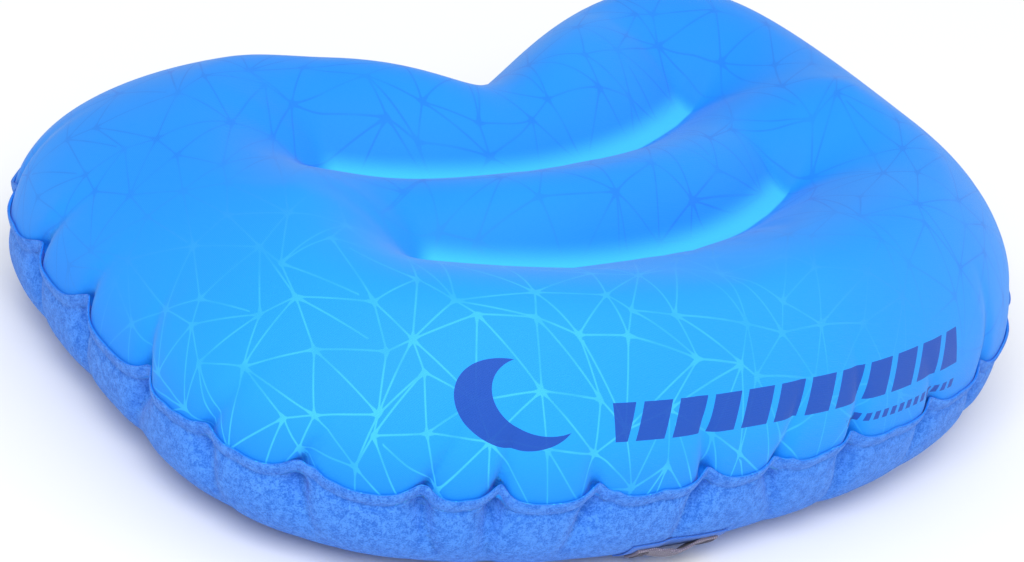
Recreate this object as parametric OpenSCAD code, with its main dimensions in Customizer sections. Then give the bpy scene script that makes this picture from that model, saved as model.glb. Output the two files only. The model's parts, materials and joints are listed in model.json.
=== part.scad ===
// Inflatable camp pillow. Two laminated fabric panels are welded together round the rim, two curved
// inner baffles draw the top down along two weld lines, and a two-stage air valve and two lash loops
// sit on the underside. X runs along the pillow, -Y is the bulging front and +Y the dipped rear.

/* [Pillow] */
// Length over the welded rim
pillow_l = 360; // [300:5:435]
// Width over the welded rim
pillow_w = 260; // [215:5:315]
// Height of the dome that the weld lines draw down, a little more than the pillow's own height
pillow_h = 120; // [100:5:145]
// Height of the rim weld above the ground
seam_h = 36; // [32:1:44]
// Reach of the front edge from the widest line
front_reach = 111; // [95:1:134]
// How far the rear edge dips in at its middle
notch_depth = 46; // [20:1:56]
// Half-angle over which the rear dip spreads
notch_spread = 36; // [30:1:42]
// Share of the crown's height that the dip takes from the rear edge
notch_sink = 0.3; // [0.1:0.05:0.4]
// Thickness of the laminated fabric, air-tight film included
fabric = 0.6; // [0.5:0.1:0.8]
// Width of the welded lip that stands out round the rim
lip_w = 6; // [4:1:8]
// Angle at which the lip stands up
lip_tilt = 45; // [20:5:60]

/* [Weld lines] */
// How far the weld lines lie below the crown
weld_drop = 46; // [35:1:55]
// How far the weld lines lift the underside
weld_lift = 5; // [3:0.5:8]
// Width of each weld and of the baffle flanges
weld_w = 8; // [6:1:10]
// Reach of the underside's slope on each side of a weld
weld_reach = 18; // [14:1:22]
// Reach of the top's gentle slope in front of each weld
weld_before = 55; // [45:1:65]
// Reach of the top's slope behind the rear weld
rear_weld_behind = 46; // [36:1:56]
// Reach of the top's slope behind the front weld
front_weld_behind = 38; // [30:1:48]
// Gap between a flange and the panel it is welded to
weld_gap = 0.3; // [0.2:0.1:0.5]
// Place of the rear weld line's middle, towards the rear
rear_weld_y = 11; // [5:1:15]
// Radius of the rear weld line
rear_weld_r = 152; // [130:1:180]
// Length of the rear weld line
rear_weld_l = 176; // [150:1:185]
// Place of the front weld line's middle, towards the rear
front_weld_y = -50; // [-56:1:-44]
// Radius of the front weld line
front_weld_r = 144; // [125:1:175]
// Length of the front weld line
front_weld_l = 174; // [150:1:180]
// Thickness of the baffle fabric
baffle_t = 0.5; // [0.4:0.1:0.8]

/* [Air valve] */
// Direction of the valve from the middle of the pillow
valve_az = 40; // [34:1:46]
// Slope of the underside where the valve sits
valve_tilt = 30; // [28:1:34]
// Height of the valve's middle above the ground
valve_h = 14; // [13:0.5:17]
// Radius of the base flange welded inside the panel
base_r = 24; // [20:0.5:26]
// Thickness of the base flange
base_t = 0.8; // [0.6:0.1:1.2]
// Outer radius of the valve boss
boss_r = 15; // [14:0.5:17]
// How far the boss stands out of the fabric
boss_out = 2; // [1.5:0.1:2.5]
// How far the boss reaches inside
boss_in = 3; // [2.5:0.1:4]
// Radius of the bore at its mouth
bore_r = 11.3; // [10.5:0.1:12]
// Taper of the bore and of both stoppers
taper = 10; // [9:0.5:12]
// Clearance round a stopper
fit_gap = 0.08; // [0.05:0.01:0.1]
// Gap under a seated rim
seat_gap = 0.05; // [0.03:0.01:0.1]
// Thickness of the stopper's rim, the cap and the tethers
rim_t = 1.2; // [1:0.1:1.5]
// Width of a tether
tether_w = 6; // [5:0.5:7]
// How far a tether's bend lies outside the rim it serves
tether_reach = 2.6; // [2.4:0.1:3]
// Depth of the stopper below its rim
plug_depth = 4; // [3.5:0.1:4.4]
// Wall of the stopper
plug_wall = 1.5; // [1.2:0.1:1.7]
// Radius of the cap
cap_r = 12.6; // [12:0.1:13]
// Depth of the cap's inner ring
cap_depth = 1.8; // [1.4:0.1:2]
// Wall of the cap's inner ring
cap_wall = 1; // [0.8:0.1:1.2]

/* [Release button] */
// Radius of the inflation port that the flap covers
port_r = 6; // [5.5:0.1:6.5]
// Radius of the hub that guides the button's stem
hub_r = 2.6; // [2.3:0.1:2.8]
// Radius of the stem
stem_r = 1.2; // [1:0.1:1.4]
// Radius of the button's head
button_r = 2.6; // [2.2:0.1:3]
// Travel of the button
press = 1.6; // [1.2:0.1:1.8]
// Overlap of the flap past the port
flap_lap = 1.2; // [0.8:0.1:1.4]
// Thickness of the flap
flap_t = 0.8; // [0.6:0.1:1]

/* [Lash loops] */
// Width of the webbing
loop_w = 10; // [8:1:12]
// Thickness of the webbing
loop_t = 1; // [0.8:0.1:1.4]
// Free length of the webbing between its sewn ends
loop_l = 22; // [18:1:26]
// Length of each sewn end
loop_tab = 6; // [5:1:8]
// Clear height under the middle of the bowed webbing
loop_bow = 2.4; // [2:0.1:2.6]
// Thickness of the patch that a loop is sewn to
patch_t = 0.5; // [0.4:0.1:0.7]
// Border of the patch past the webbing
patch_rim = 3; // [2:0.5:5]
// Direction of the front loop from the middle of the pillow
front_loop_az = 256; // [250:1:275]
// Direction of the rear loop from the middle of the pillow
rear_loop_az = 110; // [106:1:118]
// Height of the middle of a loop above the ground
loop_h = 9; // [8:0.5:11]
// Thickness of the stitching over a loop's end
tack_t = 0.4; // [0.3:0.1:0.6]

/* [Hidden] */
$fn = 96;

sectors = 72;
top_rings = 20;
under_rings = 14;
side_power = 2.26;
rear_power = 6;
crown_power = 2.5;
crown_root = 1 / 2;
under_power = 8;
under_root = 1 / 3;
slope_power = 1.3;
lip_out = lip_w * cos(lip_tilt);
lip_up = lip_w * sin(lip_tilt);
lip_cut = fabric / cos(lip_tilt);
panel_gap = 0.05;
half_l = pillow_l / 2 - lip_out;
pole_y = front_reach + lip_out - pillow_w / 2;
rear_top = pillow_w / 2 - lip_out - pole_y;
sector_az = [for (i = [0:sectors - 1]) i * 360 / sectors];

// Radius of the rim weld in direction az, for a squarish rear half whose flat back lies back_y away
function plain_reach(az, back_y) =
    let (power = sin(az) < 0 ? side_power : rear_power)
    let (depth = sin(az) < 0 ? front_reach : back_y)
    pow(pow(abs(cos(az)) / half_l, power) + pow(abs(sin(az)) / depth, power), -1 / power);
function dipped_reach(az, back_y) =
    let (dip = 1 - (rear_top - notch_depth) / back_y)
    let (dipped = sin(az) > 0 ? dip * exp(-pow((az - 90) / notch_spread, 2)) : 0)
    plain_reach(az, back_y) * (1 - dipped);
// The flat back is moved until the two rear lobes reach exactly rear_top
function lobe_top(back_y) = max([for (az = sector_az) dipped_reach(az, back_y) * sin(az)]);
function settled_back(back_y, rounds) =
    rounds == 0 ? back_y : settled_back(back_y + rear_top - lobe_top(back_y), rounds - 1);
back_y = settled_back(rear_top, 12);

function reach(az) = dipped_reach(az, back_y);
function rim_point(az) = [reach(az) * cos(az), pole_y + reach(az) * sin(az)];
function rim_normal(az) =
    let (along = rim_point(az + 1) - rim_point(az - 1))
    [along.y, -along.x] / norm(along);

// How strongly a weld line holds the fabric at x, y: 1 on the weld, 0 out of its reach
weld_h = pillow_h - weld_drop;
function hold(x, y, mid_y, radius, length, before, behind) =
    let (inward = radius - norm([x, y - mid_y - radius]))
    let (along = abs(atan2(x, mid_y + radius - y)) * PI / 180 * radius)
    let (aside = max(0, -inward) / before + max(0, inward - weld_w) / behind)
    let (past = max(0, along - length / 2) / (before + behind) * 2)
    pow(max(0, 1 - norm([aside, past])), slope_power);
function rear_hold(x, y, before, behind) =
    hold(x, y, rear_weld_y, rear_weld_r, rear_weld_l, before, behind);
function front_hold(x, y, before, behind) =
    hold(x, y, front_weld_y, front_weld_r, front_weld_l, before, behind);
function drawn(z, target, amount) = z + (target - z) * amount;

function top_z(x, y, t) =
    let (off_rear = abs(atan2(x, y - pole_y)))
    let (sunk = 1 - notch_sink * t * t * exp(-pow(off_rear / notch_spread, 2)))
    let (dome = seam_h + (pillow_h - seam_h) * pow(max(0, 1 - pow(t, crown_power)), crown_root) * sunk)
    let (held = drawn(dome, weld_h, rear_hold(x, y, weld_before, rear_weld_behind)))
    drawn(held, weld_h, front_hold(x, y, weld_before, front_weld_behind));

// The underside rests on an exactly flat middle, and has a flat place for the valve that rises to
// the rim weld
rest_sink = 0.4;
valve_inset = (seam_h - valve_h) / tan(valve_tilt);
valve_out = reach(valve_az) - valve_inset;
valve_at = [valve_out * cos(valve_az), pole_y + valve_out * sin(valve_az), valve_h];
function valve_flat_z(x, y) =
    valve_h + tan(valve_tilt) * ((x - valve_at.x) * cos(valve_az) + (y - valve_at.y) * sin(valve_az));
function under_z(x, y, t) =
    let (curve = 1 - pow(1 - pow(t, under_power), under_root))
    let (bowl = max(0, (seam_h + rest_sink) * curve - rest_sink))
    let (base = max(bowl, min(seam_h, valve_flat_z(x, y))))
    let (held = drawn(base, weld_lift, rear_hold(x, y, weld_reach, weld_reach)))
    drawn(held, weld_lift, front_hold(x, y, weld_reach, weld_reach));

// Closed skin through rings of points, from a first pole point to a last one
module ringed_skin(first, rings, last) {
    ring_points = [for (ring = rings) each ring];
    count = len(rings);
    last_i = 1 + count * sectors;
    polyhedron(
        points = concat([first], ring_points, [last]),
        faces = concat(
            [for (j = [0:sectors - 1]) [0, 1 + (j + 1) % sectors, 1 + j]],
            [for (i = [0:count - 2], j = [0:sectors - 1])
                let (a = 1 + i * sectors + j, b = 1 + i * sectors + (j + 1) % sectors)
                each [[a, b, b + sectors], [a, b + sectors, a + sectors]]],
            [for (j = [0:sectors - 1])
                [last_i, last_i - sectors + j, last_i - sectors + (j + 1) % sectors]]
        )
    );
}
function ring_share(i, rings) = (i / rings + sin(90 * i / rings)) / 2;
function on_panel(az, t) = [t * reach(az) * cos(az), pole_y + t * reach(az) * sin(az)];
// The inner face is drawn in by the fabric's thickness where the panel turns down to the rim
function drawn_in(az, t) = on_panel(az, t) - rim_normal(az) * fabric * pow(t, 8);
function rim_ring(out, z) =
    [for (az = sector_az) let (p = rim_point(az) + rim_normal(az) * out) [p.x, p.y, z]];
function top_ring(t) = [for (az = sector_az) top_point(az, t)];
// Point of the top, and the inner face's point, which lies the fabric's thickness inwards from it
function top_point(az, t) = let (p = on_panel(az, t)) [p.x, p.y, top_z(p.x, p.y, t)];
function top_inner_point(az, t) =
    let (across = cross(top_point(az, t) - top_point(az, t - 0.001), top_point(az + 1, t) - top_point(az - 1, t)))
    let (p = top_point(az, t) - across / norm(across) * fabric)
    [p.x, p.y, max(seam_h, p.z)];
function top_inner_ring(t) = [for (az = sector_az) top_inner_point(az, t)];
function under_ring(t) =
    [for (az = sector_az) let (p = on_panel(az, t)) [p.x, p.y, under_z(p.x, p.y, t)]];
function under_inner_ring(t) =
    [for (az = sector_az)
        let (p = on_panel(az, t), q = drawn_in(az, t))
        [q.x, q.y, min(seam_h - panel_gap, under_z(p.x, p.y, t) + fabric)]];

module top_panel() {
    color("#2f9cf5")
    ringed_skin(
        [0, pole_y, top_z(0, pole_y, 0)],
        concat(
            [for (i = [1:top_rings - 1]) top_ring(ring_share(i, top_rings))],
            [rim_ring(0, seam_h + lip_cut), rim_ring(lip_out, seam_h + lip_cut + lip_up)],
            [rim_ring(lip_out, seam_h + lip_up), rim_ring(0, seam_h)],
            [for (i = [top_rings:-1:1]) top_inner_ring(ring_share(i, top_rings))]
        ),
        [0, pole_y, top_z(0, pole_y, 0) - fabric]
    );
}

module bottom_panel() {
    color("#4a86d8")
    difference() {
        ringed_skin(
            [0, pole_y, fabric],
            concat(
                [for (i = [1:under_rings]) under_inner_ring(ring_share(i, under_rings))],
                [rim_ring(0, seam_h - panel_gap), rim_ring(lip_out, seam_h + lip_up - panel_gap)],
                [rim_ring(lip_out, seam_h + lip_up - lip_cut), rim_ring(0, seam_h - lip_cut)],
                [for (i = [under_rings - 1:-1:1]) under_ring(ring_share(i, under_rings))]
            ),
            [0, pole_y, 0]
        );
        at_valve() cylinder(r = boss_r + weld_gap, h = 6 * fabric, center = true);
    }
}

// A baffle is one upright curved web with a flange towards the rear at each end
module baffle(mid_y, radius, length) {
    low = weld_lift + fabric + weld_gap;
    high = weld_h - fabric - weld_gap;
    half = length / 2 / radius * 180 / PI;
    translate([0, mid_y + radius, 0])
    rotate([0, 0, 270 - half])
    rotate_extrude(angle = 2 * half)
    union() {
        translate([radius - baffle_t, low]) square([baffle_t, high - low]);
        translate([radius - weld_w, low]) square([weld_w, baffle_t]);
        translate([radius - weld_w, high - baffle_t]) square([weld_w, baffle_t]);
    }
}
module rear_baffle() {
    color("#c9d6e2") baffle(rear_weld_y, rear_weld_r, rear_weld_l);
}
module front_baffle() {
    color("#c9d6e2") baffle(front_weld_y, front_weld_r, front_weld_l);
}

// Valve frame: Z points out of the fabric, and -X points up the slope to the rim
module at_valve() {
    translate(valve_at) rotate([0, 180 - valve_tilt, valve_az]) children();
}
bend_r = rim_t / 2;
bend_clear = 0.12;
rim_low = boss_out + seat_gap;
rim_high = rim_low + rim_t;
rim_r = boss_r - 0.5;
plug_bend_x = rim_r + tether_reach;
cap_low = rim_high + seat_gap;
cap_high = cap_low + rim_t;
cap_bend_y = cap_r + tether_reach;
anchor_l = 3.5;
plug_low = rim_low - plug_depth;
plug_top_r = bore_r - fit_gap;
plug_low_r = plug_top_r - plug_depth * tan(taper);
mouth_r = plug_top_r - plug_wall;
floor_t = 1;
spoke_w = 1.4;
floor_high = plug_low + floor_t;

module ring_block(r_out, r_in, low, high) {
    translate([0, 0, low])
    difference() {
        cylinder(r = r_out, h = high - low);
        translate([0, 0, -1]) cylinder(r = r_in, h = high - low + 2);
    }
}
// Post that a tether's bend lies against, on the far side of the bend
module anchor(bend_x, from_x, low, high) {
    start = bend_x + bend_r + bend_clear;
    translate([-start - anchor_l, -tether_w / 2, low]) cube([anchor_l, tether_w, high - low]);
    translate([-start - anchor_l, -tether_w / 2, low]) cube([start + anchor_l - from_x, tether_w, rim_t * 0.75]);
}

module valve_base() {
    inner_face = -fabric - weld_gap;
    color("#39414d")
    at_valve() {
        difference() {
            union() {
                translate([0, 0, inner_face - base_t]) cylinder(r = base_r, h = base_t);
                translate([0, 0, -boss_in]) cylinder(r = boss_r, h = boss_in + boss_out);
                anchor(plug_bend_x, boss_r - 1, boss_out - rim_t, rim_high);
            }
            bore_h = boss_in + boss_out;
            translate([0, 0, -boss_in])
                cylinder(r1 = bore_r - bore_h * tan(taper), r2 = bore_r, h = bore_h);
        }
    }
}

module tether(bend_x, from_x, low) {
    translate([-bend_x, -tether_w / 2, low]) cube([bend_x - from_x, tether_w, rim_t]);
    translate([-bend_x, 0, low + bend_r]) rotate([90, 0, 0]) cylinder(r = bend_r, h = tether_w, center = true);
}
module plug_tether() {
    color("#39414d")
    at_valve() difference() {
        tether(plug_bend_x, rim_r - 1, rim_low);
        cylinder(r = rim_r, h = 4 * rim_high, center = true);
    }
}

// Gaps between the hub, its three spokes and the edge of the inflation port
module port_windows() {
    difference() {
        ring_block(port_r, hub_r, plug_low - 1, floor_high + 1);
        for (turn = [0, 120, 240])
            rotate([0, 0, turn])
                translate([0, -spoke_w / 2, plug_low - 2]) cube([port_r + 1, spoke_w, floor_t + 4]);
    }
}
module valve_plug() {
    mouth_h = rim_high - floor_high;
    color("#4b5563")
    at_valve()
    difference() {
        union() {
            translate([0, 0, plug_low]) cylinder(r1 = plug_low_r, r2 = plug_top_r, h = plug_depth);
            translate([0, 0, rim_low]) cylinder(r = rim_r, h = rim_t);
            rotate([0, 0, -90]) anchor(cap_bend_y, rim_r - 1, rim_high - rim_t * 0.75, cap_high);
        }
        translate([0, 0, floor_high])
            cylinder(r1 = mouth_r - mouth_h * tan(taper), r2 = mouth_r, h = mouth_h);
        port_windows();
        translate([0, 0, plug_low - 1]) cylinder(r = stem_r + fit_gap, h = floor_t + 2);
    }
}

module cap_tether() {
    color("#39414d")
    at_valve() rotate([0, 0, -90]) difference() {
        tether(cap_bend_y, cap_r - 1, cap_low);
        cylinder(r = cap_r, h = 4 * cap_high, center = true);
    }
}
module valve_cap() {
    color("#2c333d")
    at_valve() {
        ring_r = mouth_r - fit_gap;
        translate([0, 0, cap_low]) cylinder(r = cap_r, h = rim_t);
        translate([0, 0, cap_low - cap_depth])
        difference() {
            cylinder(r1 = ring_r - cap_depth * tan(taper), r2 = ring_r, h = cap_depth);
            translate([0, 0, -1]) cylinder(r = ring_r - cap_depth * tan(taper) - cap_wall, h = cap_depth + 1);
        }
    }
}

module air_flap() {
    color("#d9dee4")
    at_valve() ring_block(port_r + flap_lap, stem_r + fit_gap, plug_low - seat_gap - flap_t, plug_low - seat_gap);
}
module tune_button() {
    head_low = floor_high + press + seat_gap;
    stem_low = plug_low - seat_gap - flap_t - 1;
    color("#e4572e")
    at_valve() {
        translate([0, 0, stem_low]) cylinder(r = stem_r, h = head_low - stem_low);
        translate([0, 0, stem_low]) cylinder(r = stem_r + 0.8, h = 1 - seat_gap);
        translate([0, 0, head_low]) cylinder(r = button_r, h = 1);
    }
}

// Height share at which the underside passes loop_h, found by halving
function height_share(az, low, high, rounds) =
    let (mid = (low + high) / 2, p = on_panel(az, mid))
    rounds == 0 ? mid :
    under_z(p.x, p.y, mid) > loop_h ? height_share(az, low, mid, rounds - 1) :
    height_share(az, mid, high, rounds - 1);
function under_point(az) = let (t = height_share(az, 0.7, 0.995, 24), p = on_panel(az, t)) [p.x, p.y, loop_h];
// Slope of the underside at its loop, from two points either side of it
function under_tilt(az) =
    let (t = height_share(az, 0.7, 0.995, 24), a = on_panel(az, t - 0.03), b = on_panel(az, t + 0.03))
    atan2(under_z(b.x, b.y, t + 0.03) - under_z(a.x, a.y, t - 0.03), norm(b - a));
function edge_turn(az) = let (n = rim_normal(az)) atan2(n.y, n.x);
// Loop frame: Z points out of the fabric, and Y runs along the edge
module at_loop(az) {
    translate(under_point(az)) rotate([0, 180 - under_tilt(az), edge_turn(az)]) children();
}
patch_seat = 1;
loop_seat = patch_seat + patch_t + seat_gap;
function bow(x) = abs(x) < loop_l / 2 ? loop_bow * (1 + cos(360 * x / loop_l)) / 2 : 0;
strap_x = [for (i = [-14:14]) i / 14 * (loop_l / 2 + loop_tab)];

module loop_patch(az) {
    length = loop_l + 2 * loop_tab + 2 * patch_rim;
    width = loop_w + 2 * patch_rim;
    at_loop(az) translate([-width / 2, -length / 2, patch_seat]) cube([width, length, patch_t]);
}
module lash_loop(az) {
    at_loop(az)
    translate([loop_w / 2, 0, loop_seat])
    rotate([90, 0, 270])
    linear_extrude(loop_w)
    polygon(concat(
        [for (x = strap_x) [x, bow(x)]],
        [for (i = [len(strap_x) - 1:-1:0]) [strap_x[i], bow(strap_x[i]) + loop_t]]
    ));
}
module bar_tacks(az) {
    tack_l = loop_tab * 0.6;
    tack_w = loop_w * 0.8;
    at_loop(az)
    for (side = [-1, 1])
        translate([0, side * (loop_l + loop_tab) / 2, loop_seat + loop_t + seat_gap + tack_t / 2])
            cube([tack_w, tack_l, tack_t], center = true);
}
module front_loop_patch() {
    color("#3f6fb8") loop_patch(front_loop_az);
}
module rear_loop_patch() {
    color("#3f6fb8") loop_patch(rear_loop_az);
}
module front_lash_loop() {
    color("#8b8497") lash_loop(front_loop_az);
}
module rear_lash_loop() {
    color("#8b8497") lash_loop(rear_loop_az);
}
module front_bar_tacks() {
    color("#5f5a6b") bar_tacks(front_loop_az);
}
module rear_bar_tacks() {
    color("#5f5a6b") bar_tacks(rear_loop_az);
}

top_panel();
bottom_panel();
rear_baffle();
front_baffle();
valve_base();
plug_tether();
valve_plug();
cap_tether();
valve_cap();
air_flap();
tune_button();
front_loop_patch();
rear_loop_patch();
front_lash_loop();
rear_lash_loop();
front_bar_tacks();
rear_bar_tacks();
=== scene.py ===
# %% [markdown]
# # An inflatable camp pillow
# The pillow is two laminated fabrics welded together round the rim. Two inner baffles tie the top
# down along two curved weld lines, and an air valve and two lash loops sit underneath. The hard
# valve comes from the CAD frame as it is. The fabric is made here: a cut pattern is laid out in a
# regular grid, lifted to the inflated shape by formulas, settled by a short cloth simulation, and
# welded into a lip.

# %% Load the fixed frame
import json
import math
import bpy
import numpy as np
from mathutils import Matrix, Vector, bvhtree


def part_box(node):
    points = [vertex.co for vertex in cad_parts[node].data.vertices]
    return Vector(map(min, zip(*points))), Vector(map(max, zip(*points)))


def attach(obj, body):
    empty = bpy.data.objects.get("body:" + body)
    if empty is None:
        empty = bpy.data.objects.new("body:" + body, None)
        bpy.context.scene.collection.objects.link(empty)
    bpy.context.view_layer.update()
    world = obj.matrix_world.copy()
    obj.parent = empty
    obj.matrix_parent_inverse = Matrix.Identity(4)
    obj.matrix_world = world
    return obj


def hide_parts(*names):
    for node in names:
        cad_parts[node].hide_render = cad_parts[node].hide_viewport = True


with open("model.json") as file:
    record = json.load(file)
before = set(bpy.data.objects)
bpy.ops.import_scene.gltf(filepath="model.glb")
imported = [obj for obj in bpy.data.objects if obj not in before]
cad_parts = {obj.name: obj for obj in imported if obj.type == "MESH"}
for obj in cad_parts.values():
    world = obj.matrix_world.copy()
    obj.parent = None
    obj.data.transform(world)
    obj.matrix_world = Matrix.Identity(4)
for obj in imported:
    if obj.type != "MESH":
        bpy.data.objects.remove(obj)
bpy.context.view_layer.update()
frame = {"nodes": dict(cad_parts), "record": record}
bpy.ops.object.select_all(action="DESELECT")
MM = 0.001

# %% [markdown]
# ## The camera
# A long lens from the front left keeps the pillow's proportions. The pillow was tilted a little in
# the view, which is the camera's roll.

# %% Camera
VIEW_AZ, VIEW_EL, VIEW_ROLL = math.radians(-41.24), math.radians(30.58), math.radians(12.38)
VIEW_TARGET = Vector((-0.0274, -0.0113, 0.0501))
VIEW_DISTANCE = 1.5
back = Vector((
    math.sin(VIEW_AZ) * math.cos(VIEW_EL), -math.cos(VIEW_AZ) * math.cos(VIEW_EL), math.sin(VIEW_EL)
))
level = Vector((0, 0, 1)).cross(back).normalized()
upright = back.cross(level)
right = level * math.cos(VIEW_ROLL) + upright * math.sin(VIEW_ROLL)
up = upright * math.cos(VIEW_ROLL) - level * math.sin(VIEW_ROLL)
bpy.ops.object.camera_add(location=VIEW_TARGET + back * VIEW_DISTANCE)
camera = bpy.context.object
camera.rotation_euler = Matrix((right, up, back)).transposed().to_euler()
camera.data.lens = 150.3
bpy.context.scene.camera = camera
bpy.context.scene.view_settings.view_transform = "Standard"

# %% [markdown]
# ## The rim in plan
# Seen from above the rim is a round front and a squarer rear with a soft dip in its middle. The
# radius in each direction from the pole follows a formula, so any point can be found on it.

# %% Plan of the rim
low, high = (np.array(corner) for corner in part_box("top_panel"))
LIP = 6 * MM
lip_out = LIP * math.cos(math.radians(45))
half_length = high[0] - lip_out
seam_z, crown_z = low[2], 120 * MM
FRONT_REACH = 111 * MM
NOTCH_DEPTH = 46 * MM
NOTCH_SPREAD = math.radians(36)
pole_y = low[1] + lip_out + FRONT_REACH
rear_top = high[1] - lip_out - pole_y


def reach(az, flat_back):
    """Radius of the rim in direction az, for a rear whose flat back lies flat_back away"""
    c, s = np.cos(az), np.sin(az)
    power = np.where(s < 0, 2.26, 6)
    depth = np.where(s < 0, FRONT_REACH, flat_back)
    plain = (np.abs(c / half_length) ** power + np.abs(s / depth) ** power) ** (-1 / power)
    dip = 1 - (rear_top - NOTCH_DEPTH) / flat_back
    off_rear = (az - math.pi / 2 + math.pi) % (2 * math.pi) - math.pi
    return plain * (1 - np.where(s > 0, dip * np.exp(-((off_rear / NOTCH_SPREAD) ** 2)), 0))


flat_back = rear_top
round_az = np.radians(np.arange(0, 360, 5))
for _ in range(12):
    flat_back += rear_top - (reach(round_az, flat_back) * np.sin(round_az)).max()


def rim(az):
    """Points on the rim in plan, in directions az"""
    r = reach(az, flat_back)
    return np.stack([r * np.cos(az), pole_y + r * np.sin(az)], -1)


rim_az = np.linspace(0, 2 * math.pi, 7201)
rim_run = np.r_[0, np.cumsum(np.linalg.norm(np.diff(rim(rim_az), axis=0), axis=1))]
rim_length = rim_run[-1]
print("rim length", round(rim_length / MM), "mm")

# %% [markdown]
# ## The cut pattern
# Cloth simulates best on even, square faces. The plan is filled with a grid whose four sides run
# evenly along the rim, and each inner point blends its four sides (a Coons patch).

# %% Even grid over the plan
ACROSS, ALONG = 148, 100
CORNER_AZ = [math.radians(a) for a in (215, 325, 407, 493)]


def side(az_from, az_to, count):
    """count + 1 points evenly spaced along the rim"""
    az = np.linspace(az_from, az_to, 4001)
    run = np.r_[0, np.cumsum(np.linalg.norm(np.diff(rim(az), axis=0), axis=1))]
    return rim(np.interp(np.linspace(0, run[-1], count + 1), run, az))


front = side(CORNER_AZ[0], CORNER_AZ[1], ACROSS)
right_side = side(CORNER_AZ[1], CORNER_AZ[2], ALONG)
rear = side(CORNER_AZ[3], CORNER_AZ[2], ACROSS)
left_side = side(CORNER_AZ[0] + 2 * math.pi, CORNER_AZ[3], ALONG)
u = np.linspace(0, 1, ACROSS + 1)[None, :, None]
v = np.linspace(0, 1, ALONG + 1)[:, None, None]
plan = (1 - v) * front[None] + v * rear[None] + (1 - u) * left_side[:, None] + u * right_side[:, None]
plan -= (1 - u) * (1 - v) * front[0] + u * (1 - v) * front[-1] + (1 - u) * v * rear[0] + u * v * rear[-1]
grid_az = np.arctan2(plan[..., 1] - pole_y, plan[..., 0])
flat_share = np.hypot(plan[..., 0], plan[..., 1] - pole_y) / reach(grid_az, flat_back)
edge = np.zeros(flat_share.shape, bool)
edge[0] = edge[-1] = edge[:, 0] = edge[:, -1] = True
flat_share = np.where(edge, 1, np.minimum(flat_share, 0.999))
print("grid", flat_share.shape)

# %% [markdown]
# ## The inflated shape
# The top is a dome with two valleys where the baffles hold it, and the underside is nearly flat with
# steep walls up to the seam. The grid is spread by length along each profile, so that the faces stay
# even where the fabric turns down to the seam.

# %% Profiles and weld lines
WELD_Z = crown_z - 46 * MM
WELD_WIDTH = 8 * MM
WELD_LIFT = 5 * MM
WELD_SLOPE = math.tan(math.radians(30))
WELDS = [(11 * MM, 152 * MM, 176 * MM), (-50 * MM, 144 * MM, 174 * MM)]
SLOPE_FRONT = 55 * MM
SLOPE_BEHIND = [50 * MM, 38 * MM]
MEAN_REACH = 140 * MM
CROWN_POWER = 2.5
CROWN_ROOT = 1 / 2
NOTCH_SINK = 0.2
UNDER_SLOPE = 16 * MM


def dome_height(t):
    return (crown_z - seam_z) * (1 - t**CROWN_POWER) ** CROWN_ROOT


def bowl_height(t):
    return np.maximum(0, (seam_z + 0.4 * MM) * (1 - (1 - t**8) ** (1 / 3)) - 0.4 * MM)


def spread(share, height):
    """Share of the reach at an even share of the length along a profile"""
    t = np.sin(np.linspace(0, math.pi / 2, 6001))
    run = np.r_[0, np.cumsum(np.hypot(np.diff(t) * MEAN_REACH, np.diff(height(t))))]
    return np.interp(share, run / run[-1], t), run[-1]


def smooth(value):
    value = np.clip(value, 0, 1)
    return value * value * (3 - 2 * value)


def weld_place(x, y, weld):
    """Distance behind a weld line, and distance along it past its end"""
    middle_y, radius, length = weld
    centre_y = middle_y + radius
    behind = radius - np.hypot(x, y - centre_y)
    return behind, np.abs(np.arctan2(x, centre_y - y)) * radius - length / 2


def valley(x, y, weld, reach_front, reach_behind):
    """How far a weld draws the fabric in: 1 on the weld, 0 out of its reach"""
    behind, past = weld_place(x, y, weld)
    ahead = np.maximum(0, -behind) / reach_front
    after = np.maximum(0, behind - WELD_WIDTH) / reach_behind
    beyond = np.maximum(0, past) / (0.5 * (reach_front + reach_behind))
    return np.maximum(0, 1 - np.sqrt((ahead + after) ** 2 + beyond**2)) ** 1.3


# %% Flat place for the valve
VALVE_TILT = math.radians(30)
VALVE_AZ = math.radians(40)
VALVE_Z = 14 * MM
valve_out = float(reach(np.array(VALVE_AZ), flat_back)) - (seam_z - VALVE_Z) / math.tan(VALVE_TILT)
VALVE = np.array([valve_out * math.cos(VALVE_AZ), pole_y + valve_out * math.sin(VALVE_AZ), VALVE_Z])
VALVE_NORMAL = np.array([
    math.sin(VALVE_TILT) * math.cos(VALVE_AZ),
    math.sin(VALVE_TILT) * math.sin(VALVE_AZ),
    -math.cos(VALVE_TILT),
])


def valve_flat(x, y):
    run = (x - VALVE[0]) * math.cos(VALVE_AZ) + (y - VALVE[1]) * math.sin(VALVE_AZ)
    return VALVE_Z + math.tan(VALVE_TILT) * run


# %% Lift the grid to the inflated shape
def on_plan(t):
    r = t * reach(grid_az, flat_back)
    return r * np.cos(grid_az), pole_y + r * np.sin(grid_az)


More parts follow.
